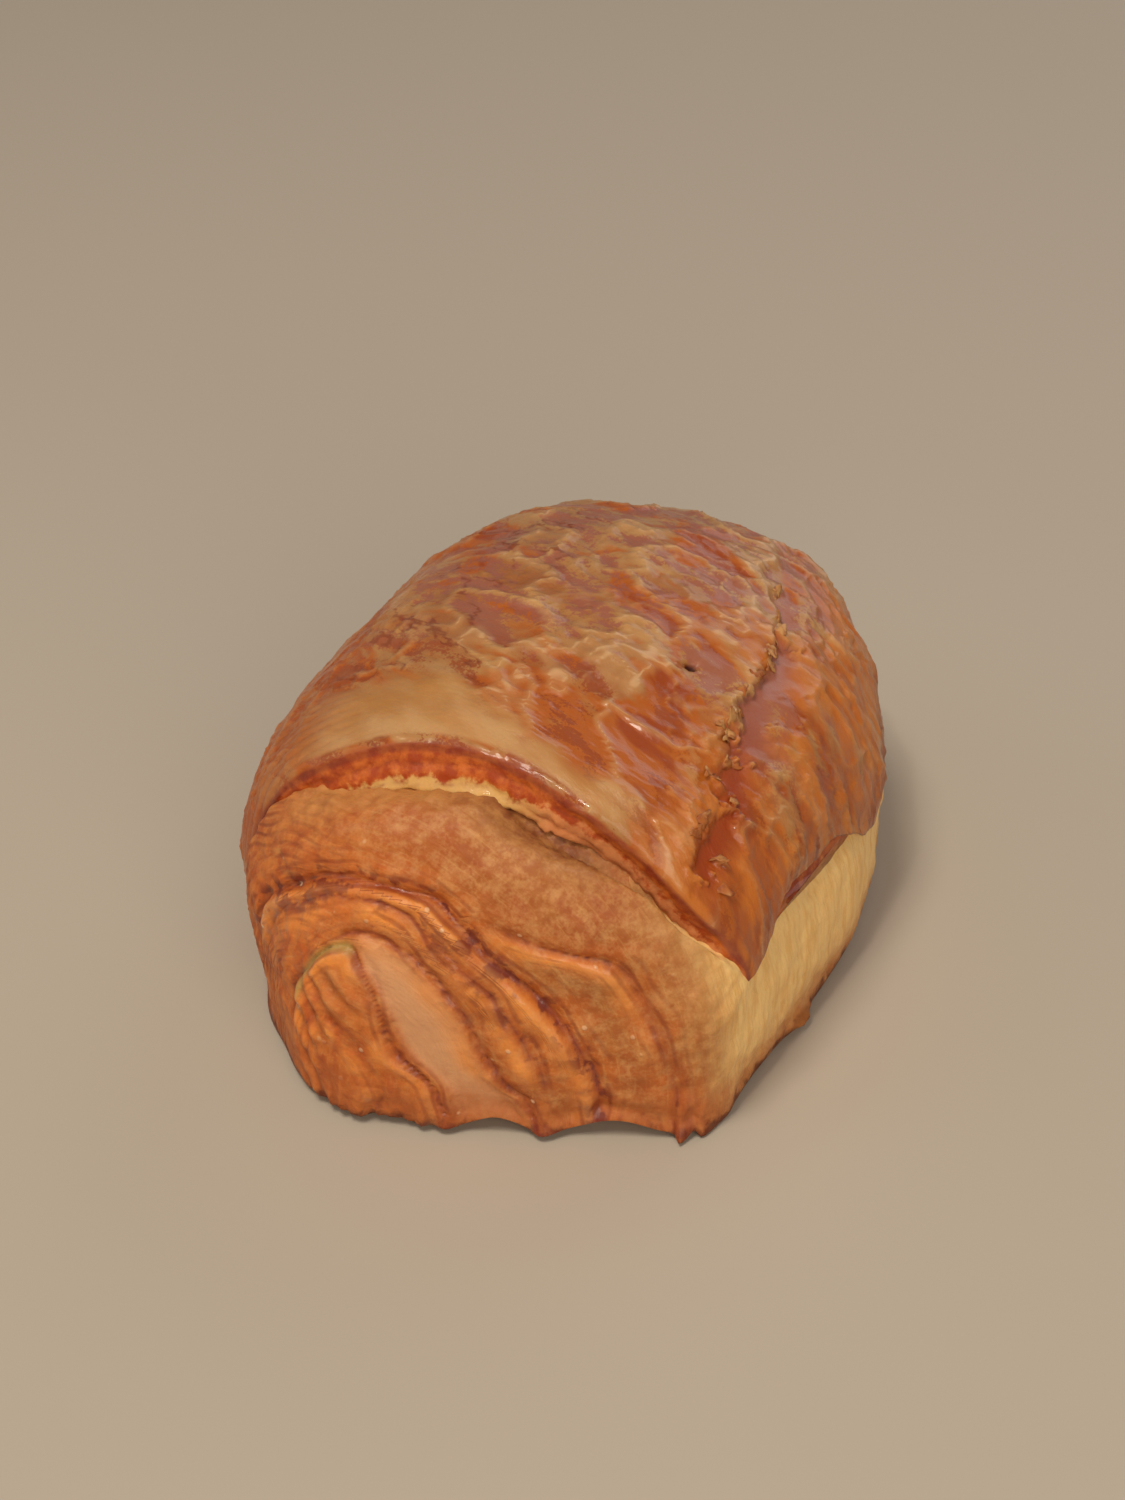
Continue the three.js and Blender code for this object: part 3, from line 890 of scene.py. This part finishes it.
def startMaterial(name, piece=None):
    # an empty material, its own way of adding nodes, the piece's float values by name, and the place in mm
    material = bpy.data.materials.new(name)
    material.use_nodes = True
    material.node_tree.nodes.clear()
    add = partial(addNode, material.node_tree)
    titles = [layer.name for layer in piece.data.attributes if layer.data_type == "FLOAT"] if piece else []
    marks = {}
    for title in titles:
        marks[title] = add("ShaderNodeAttribute", settings={"attribute_name": title}, output="Fac")
    inMm = add("mapping", add("ShaderNodeTexCoord", output="Object"), Scale=(1000, 1000, 1000))
    return material, add, SimpleNamespace(**marks), inMm


def glazedCrustMaterial():
    # laminated dough washed with egg and baked: a thin peach skin, amber where the wash pooled under it, and
    # grainy red where it has worn through, with a painted mauve reflection over the worn patches and the
    # valley further back; glossy all over, most of all in the hollows
    material, add, mark, inMm = startMaterial("eggWashedCrust", crustPiece)
    slant = add("timesPlus", mark.sideArc, -0.35, mark.alongArc)
    sheet = add("combine", mark.sideArc, slant, add("times", mark.rim, 7.0))
    # patterns on the sheet, drawn out round the roll, each with its size in mm
    drawnOut = add("mapping", sheet, Scale=(0.5, 1, 1))
    moved = add("mapping", drawnOut, Location=(37, 11, 5))
    tone = add("noise", drawnOut, Scale=1 / 9, Detail=4.0, Distortion=0.4)
    pools = add("noise", moved, Scale=1 / 8, Detail=3.0, Distortion=0.8)
    worn = add("noise", moved, Scale=1 / 5, Detail=6.0, Roughness=0.66)
    speckle = add("noise", drawnOut, Scale=1 / 1.3, Detail=5.0, Roughness=0.65)
    crackNoise = add("noise", moved, Scale=1 / 12, Detail=4.0, Roughness=0.6)
    grain = add("noise", inMm, Scale=1 / 0.4, Detail=3.0)
    faceBlotch = add("noise", inMm, Scale=1 / 2.6, Detail=5.0, Roughness=0.6)

    toneShare = add("softRamp", tone, 0.34, 0.66)
    speckleShare = add("softRamp", speckle, 0.46, 0.74, 0, 0.4)
    fartherBack = add("softRamp", mark.alongArc, -20, -2)
    # amber pools lie in the low ground, with small painted golden glints in them
    lowPools = add("timesPlus", mark.raised, -0.05, pools)
    lowPools = add("timesPlus", mark.amber, 0.12, lowPools)
    deepPools = add("timesPlus", mark.amber, -0.14, lowPools)
    amberWithPaintedGlints = add("mix", add("softRamp", speckle, 0.36, 0.24, 0, 0.6), "AA540A", "CC8A20")
    # where the skin has worn through the edges are grainy; further back these patches carry a painted mauve
    # reflection
    wearAndSheenPatches = add("timesPlus", grain, 0.28, worn)
    for value, weight in ((mark.crest, -0.16), (mark.flake, -0.05), (mark.amber, -0.1)):
        wearAndSheenPatches = add("timesPlus", value, weight, wearAndSheenPatches)
    # a few hairline cracks run across the film left of the top, but not over the pale band
    offLine = add("unsigned", add("minus", crackNoise, 0.5))
    crack = add("softRamp", offLine, 0.02, 0.003, 0, 0.8)
    leftOfTop = add("softRamp", mark.sideArc, 2, 8)
    for limit in (add("softRamp", worn, 0.46, 0.56), leftOfTop, add("ramp", mark.border, 0, 1, 1, 0)):
        crack = add("times", crack, limit)
    # the right flank faced the heat, so it is more orange
    rightShare = add("softRamp", mark.sideArc, -22, -36, 0, 0.65)
    rightShare = add("times", rightShare, add("softRamp", tone, 0.46, 0.6, 1, 0.15))
    # the lip: a dark red corner, an orange face, and paler crumb low on it
    faceShare = add("softRamp", faceBlotch, 0.36, 0.62)
    overTop = add("softRamp", mark.sideArc, -16, -4)
    raggedCrumb = add("timesPlus", overTop, -0.2, add("timesPlus", faceBlotch, -0.7, mark.rim))
    crumbShare = add("softRamp", raggedCrumb, -0.1, 0.02, 0, 0.85)
    crumbTone = add("mix", overTop, "CC8450", "D6AC64")
    faceTone = add("mix", crumbShare, add("mix", faceShare, "C86826", "A24014"), crumbTone)
    onFace = add("softRamp", mark.rim, 0.02, 0.12)
    cornerShare = add("times", add("softRamp", mark.rim, 0.17, 0.08, 0, 0.9), mark.corner)
    lineShare = add("times", mark.line, add("ramp", faceBlotch, 0.35, 0.6, 0.15, 0.8))
    charShare = add("times", add("softRamp", worn, 0.48, 0.62, 0, 0.8), mark.edgeRight)

    # coats of colour from the bottom up, each by its share
    colour = add("mix", toneShare, "9A5C2C", "AE7E48")
    for share, tint in (
        (speckleShare, "A05A2C"),
        # paler toward the far end, golden over the amber
        (add("softRamp", mark.alongArc, 2, 28, 0, 0.35), "B08E62"),
        (add("times", mark.amber, 0.6), "B4681A"),
        (add("softRamp", lowPools, 0.47, 0.56, 0, 0.9), amberWithPaintedGlints),
        (add("softRamp", deepPools, 0.58, 0.66, 0, 0.8), "8E380C"),
        # worn-through patches: red by the lip, and further back a painted mauve reflection
        (add("softRamp", wearAndSheenPatches, 0.56, 0.6, 0, 0.85), add("mix", fartherBack, "90400E", "985844")),
        (add("times", mark.border, 0.85), add("mix", toneShare, "B27E40", "C49864")),
        # the skin is thickest, and palest, on its crests
        (add("softRamp", mark.crest, 0.4, 0.85, 0, 0.3), "C89C66"),
        (add("softRamp", mark.crest, 0.86, 1, 0, 0.44), "DCB88A"),
        # lighter on the high ground and darker in the low ground: painted highlight and painted shade
        (add("ramp", mark.raised, 0.3, 1.9, 0, 0.4), "CEA06A"),
        (add("ramp", mark.raised, -0.4, -2, 0, 0.5), "8E4018"),
        (crack, "7C3A1C"),
        (rightShare, "CC7626"),
        (add("times", mark.pleats, 0.5), "8E3E1C"),
        # the torn valley is dark red by the lip, with a painted mauve reflection further back
        (add("times", mark.valley, 0.88), add("mix", fartherBack, "92360E", "9A5C4A")),
        # the left flank is streaked orange
        (add("times", mark.leftward, 0.62), add("mix", speckleShare, "B86026", "8A3212")),
        (onFace, faceTone),
        (cornerShare, add("mix", faceShare, "A04E24", "84301A")),
        # dark lines between the layers, on the lip and down the left
        (lineShare, "8A3C1C"),
        (add("softRamp", mark.pit, 0.12, 0.6), "42180C"),
        # the thin free edge is caught by the heat
        (charShare, "742E14"),
    ):
        colour = add("mix", share, colour, tint)

    roughness = add("ramp", speckle, 0.3, 0.7, 0.3, 0.46)
    roughness = add("timesPlus", onFace, 0.12, roughness)
    roughness = add("timesPlus", mark.pit, 0.5, roughness)
    # the wash runs a little way over the lip's edge, and is missing in the hole
    coat = add("timesPlus", mark.amber, 0.3, add("ramp", mark.rim, 0.2, 0.4, 0.36, 0.08))
    coat = add("times", coat, add("ramp", mark.pit, 0, 0.3, 1, 0))
    fineHeight = add("timesPlus", grain, 0.25, speckle)
    bump = add("ShaderNodeBump", Strength=0.4, Distance=0.0005, Height=fineHeight)
    shader = add("ShaderNodeBsdfPrincipled", colour, Roughness=roughness, Normal=bump, Coat_Weight=coat,
                 Coat_Roughness=0.09, Specular_IOR_Level=0.28, Subsurface_Weight=0.12,
                 Subsurface_Radius=(1.0, 0.38, 0.14), Subsurface_Scale=0.003)
    add("ShaderNodeOutputMaterial", shader)
    return material


def bakedDoughMaterial():
    # laminated dough baked without a wash: satin tan where it swelled, toasted orange along the folds,
    # red-brown down in the creases, and a fibrous cream where the sheet was pulled at the side
    material, add, mark, inMm = startMaterial("bakedLaminatedDough", doughPiece)
    fibres = add("mapping", add("combine", mark.layerArc, mark.roundArc), Scale=(1, 0.12, 1))
    upright = add("mapping", inMm, Scale=(0.4, 0.8, 0.13))
    # patterns, each with its size in mm
    broad = add("noise", inMm, Scale=1 / 8, Detail=3.0)
    blotch = add("noise", inMm, Scale=1 / 2.4, Detail=5.0, Roughness=0.6)
    fibre = add("noise", fibres, Scale=1 / 0.9, Detail=4.0, Roughness=0.6)
    sideFibre = add("noise", upright, Scale=1 / 1.1, Detail=4.0, Roughness=0.6)
    fine = add("noise", inMm, Scale=1 / 0.5, Detail=3.0)
    drift = add("noise", inMm, Scale=1 / 13, Detail=0.5)
    woolly = add("noise", inMm, Scale=1 / 2.2, Detail=3.5, Roughness=0.6)
    spotNoise = add("noise", inMm, Scale=1 / 2.8, Detail=4.0)

    blotchShare = add("softRamp", blotch, 0.46, 0.7, 0, 0.34)
    orangeTone = add("mix", add("softRamp", sideFibre, 0.42, 0.62), "D47A32", "B85420")
    orangeTone = add("mix", blotchShare, orangeTone, "A04016")
    # thin pressed layers show as broken red-brown lines, 1.7 mm apart on the flank, 2.2 mm by the folds
    wander = add("timesPlus", drift, 7, mark.layerArc)
    flankLines = add("softRamp", add("pingPong", wander, 0.85), 0.5, 0.06)
    wander = add("timesPlus", blotch, 0.25, add("timesPlus", drift, 6, mark.fold))
    foldLines = add("softRamp", add("pingPong", wander, 1.1), 0.6, 0.08)
    lines = add("larger", add("times", flankLines, mark.pressed), add("times", foldLines, mark.foldRed))
    outsideWindow = add("minus", 1, mark.window)
    for limit in (add("softRamp", broad, 0.38, 0.58, 0.05, 0.7), outsideWindow):
        lines = add("times", lines, limit)
    fuzz = add("timesPlus", fine, 0.45, woolly)
    fuzzShare = add("times", add("ramp", fuzz, 0.8, 0.5, 0, 0.5), add("ramp", mark.orange, 0, 1, 1, 0.35))
    cream = add("mix", add("softRamp", sideFibre, 0.42, 0.68, 0, 0.55), "F8CE86", "E0A450")
    height = add("timesPlus", blotch, -9, add("separate", inMm, output="Z"))
    creaseShare = add("times", mark.crease, add("ramp", blotch, 0.3, 0.55, 0.45, 1))
    # purple-brown spots, 1 to 2 mm, where the folds were nearest the heat
    byFold = add("larger", add("power", mark.foldRed, 5), mark.crease)
    spotShare = add("times", add("softRamp", spotNoise, 0.5, 0.6, 0, 0.95), byFold)
    # tiny pale blisters, under 1 mm across, mostly beside the folds; their pale colour is partly a painted
    # glint
    cells = add("ShaderNodeTexVoronoi", inMm, Scale=1 / 3.4).node.outputs
    blister = add("softRamp", cells["Distance"], 0.15, 0.07)
    chosen = add("softRamp", add("separate", cells["Color"]), 0.45, 0.6)
    for limit in (chosen, add("softRamp", mark.foldRed, 0.05, 0.5, 0.2, 1), outsideWindow):
        blister = add("times", blister, limit)
    # painted shadow under the lip, broken up by the woolly noise
    shadeShare = add("times", add("softRamp", woolly, 0.3, 0.65, 0.5, 1), mark.shade)

    # coats of colour from the bottom up, each by its share
    colour = add("mix", add("ramp", broad, 0.36, 0.64), "A65826", "B07238")
    for share, tint in (
        (blotchShare, "A45424"),
        (add("softRamp", blotch, 0.46, 0.3, 0, 0.5), "D0985A"),
        # the folds are toasted a brighter orange than the bands between them
        (add("times", mark.orange, 0.8), orangeTone),
        (add("times", mark.foldRed, 0.6), "D66E22"),
        (add("softRamp", fibre, 0.48, 0.72, 0, 0.3), "9E4E24"),
        (add("softRamp", fibre, 0.46, 0.28, 0, 0.4), "D29C5C"),
        (add("softRamp", woolly, 0.5, 0.74, 0, 0.3), "9A5226"),
        (fuzzShare, "D6A468"),
        (mark.pale, cream),
        (add("times", mark.window, 0.8), "D8A274"),
        # the raised ridge beside each fold is bright orange: partly toasting, partly a painted highlight
        (add("times", mark.ridge, 0.85), "F09642"),
        # near the base the dough is toasted all round, darkest at the feet
        (add("softRamp", height, 8.5, -3.5, 0, 0.85), "B0602C"),
        (add("softRamp", height, -1.2, -3.8, 0, 0.9), "5E2612"),
        # lighter on the high ground and darker in the low ground: painted highlight and painted shade
        (add("ramp", mark.raised, 0.1, 1.6, 0, 0.35), "DDA566"),
        (add("ramp", mark.raised, -0.3, -2.2, 0, 0.45), "9C461C"),
        (add("times", mark.line, 0.55), "8A3A1A"),
        (creaseShare, "8C381A"),
        (lines, "84341A"),
        (spotShare, "742E20"),
        # pale blisters, partly painted glints
        (add("times", blister, 0.6), "EFC294"),
        # under the lip the torn crumb is pale, with brown between it that is painted shade, and a painted
        # shadow where the lip overhangs most
        (add("times", mark.hollow, 0.65), add("mix", blotchShare, "C0884A", "8E5028")),
        (shadeShare, add("mix", fuzzShare, "844C2A", "AA7442")),
        (add("softRamp", mark.scrap, 0.2, 0.6, 0, 0.85), add("mix", blotchShare, "A0622C", "6A3014")),
        (add("times", mark.cut, 0.8), "B29450"),
    ):
        colour = add("mix", share, colour, tint)

    gloss = add("larger", mark.ridge, mark.crease)
    wet = add("times", add("softRamp", blotch, 0.48, 0.56, 0, 0.8), gloss)
    grainHeight = add("timesPlus", fine, 0.4, fibre)
    for value, weight in ((woolly, 1), (lines, -0.9), (blister, 1.2)):
        grainHeight = add("timesPlus", value, weight, grainHeight)
    bump = add("ShaderNodeBump", Strength=0.4, Distance=0.0004, Height=grainHeight)
    shader = add("ShaderNodeBsdfPrincipled", colour, Roughness=add("ramp", gloss, 0, 1, 0.54, 0.3),
                 Normal=bump, Coat_Weight=add("larger", wet, blister), Coat_Roughness=0.09,
                 Specular_IOR_Level=0.32, Subsurface_Weight=0.15, Subsurface_Radius=(1.0, 0.42, 0.18),
                 Subsurface_Scale=0.003)
    add("ShaderNodeOutputMaterial", shader)
    return material


def flakeMaterial():
    # a dried scrap of the same glazed skin: tan where it is thin, browner in 1 mm blotches, satin
    material, add, _, inMm = startMaterial("driedGlazeFlake")
    patch = add("noise", inMm, Scale=1 / 6, Detail=2.0)
    blotch = add("noise", inMm, Scale=1, Detail=4.0)
    colour = add("mix", add("softRamp", patch, 0.4, 0.6), "A9622C", "C08E56")
    colour = add("mix", add("softRamp", blotch, 0.45, 0.68, 0, 0.8), colour, "8A4220")
    roughness = add("ramp", blotch, 0.3, 0.7, 0.36, 0.5)
    bump = add("ShaderNodeBump", Strength=0.3, Distance=0.0003, Height=blotch)
    shader = add("ShaderNodeBsdfPrincipled", colour, Roughness=roughness, Normal=bump,
                 Specular_IOR_Level=0.3)
    add("ShaderNodeOutputMaterial", shader)
    return material


def paleFloorMaterial():
    # matt painted board
    material, add = startMaterial("mattPaleBoard")[:2]
    add("ShaderNodeOutputMaterial", add("ShaderNodeBsdfPrincipled", "B2A898", Roughness=0.7))
    return material


crustPiece.data.materials.append(glazedCrustMaterial())
doughPiece.data.materials.append(bakedDoughMaterial())
flakesPiece = makeFlakes(crustPiece, flakeMaterial())
print("materials and flakes made:", len(flakesPiece.data.polygons), "flake faces")

pieceSlots = ((doughPiece, "pale_dough"), (crustPiece, "glazed_crust"), (flakesPiece, "glazed_crust"))
for piece, slotName in pieceSlots:
    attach(piece, "root")
    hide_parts(pastryName)


# floor, light and camera
def makeStage():
    size = 6.0
    corners = [(-size, -size, 0), (size, -size, 0), (size, size, 0), (-size, size, 0)]
    data = bpy.data.meshes.new("floor")
    data.from_pydata(corners, [], [(0, 1, 2, 3)])
    data.materials.append(paleFloorMaterial())
    floor = newObject("floor", data)


def makeLights():
    world = bpy.data.worlds.new("softRoom")
    bpy.context.scene.world = world
    world.use_nodes = True
    background = world.node_tree.nodes["Background"]
    background.inputs["Color"].default_value = hexColour("D2CCCA")
    background.inputs["Strength"].default_value = 0.32
    # place and aim in metres, size in metres, power in watts
    for name, place, aim, size, power, colour in (
        ("ceilingLight", (-0.12, -0.30, 0.95), (0, 0, 0.03), 0.30, 4.8, "FFF2E2"),
        ("windowLight", (0.58, -0.76, 0.50), (0, 0, 0.03), 0.8, 4.5, "FFEEDA"),
        ("roomFill", (-0.75, -0.35, 0.45), (0, 0, 0.03), 0.7, 0.9, "FFF2E6"),
        ("wallGlow", (0.20, 0.8, 0.45), (0, 0, 0.04), 0.7, 1.7, "E6DCDA"),
        ("smallLamp", (-0.05, -0.45, 0.85), (0, 0, 0.03), 0.05, 0.9, "FFF6EA"),
    ):
        light = bpy.data.lights.new(name, "AREA")
        light.shape = "DISK"
        light.size = size
        light.energy = power
        light.color = hexColour(colour)[:3]
        lamp = newObject(name, light)
        lamp.location = place
        lamp.rotation_euler = (Vector(aim) - Vector(place)).to_track_quat("-Z", "Y").to_euler()


def makeCamera():
    # from 21 degrees round to the right, looking 37.5 degrees down
    data = bpy.data.cameras.new("camera")
    data.sensor_width = 36
    data.lens = 67.2
    data.clip_start = 0.01
    camera = newObject("camera", data)
    azimuth, pitch = math.radians(21), math.radians(37.5)
    level = math.cos(pitch)
    aim = Vector((-math.sin(azimuth) * level, math.cos(azimuth) * level, -math.sin(pitch)))
    camera.location = Vector((120.1, -318.9, 292.1)) * mm
    camera.rotation_mode = "QUATERNION"
    camera.rotation_quaternion = aim.to_track_quat("-Z", "Y")
    bpy.context.scene.camera = camera


makeStage()
makeLights()
makeCamera()
bpy.context.scene.view_settings.view_transform = "Standard"
print("stage, lights and camera made")
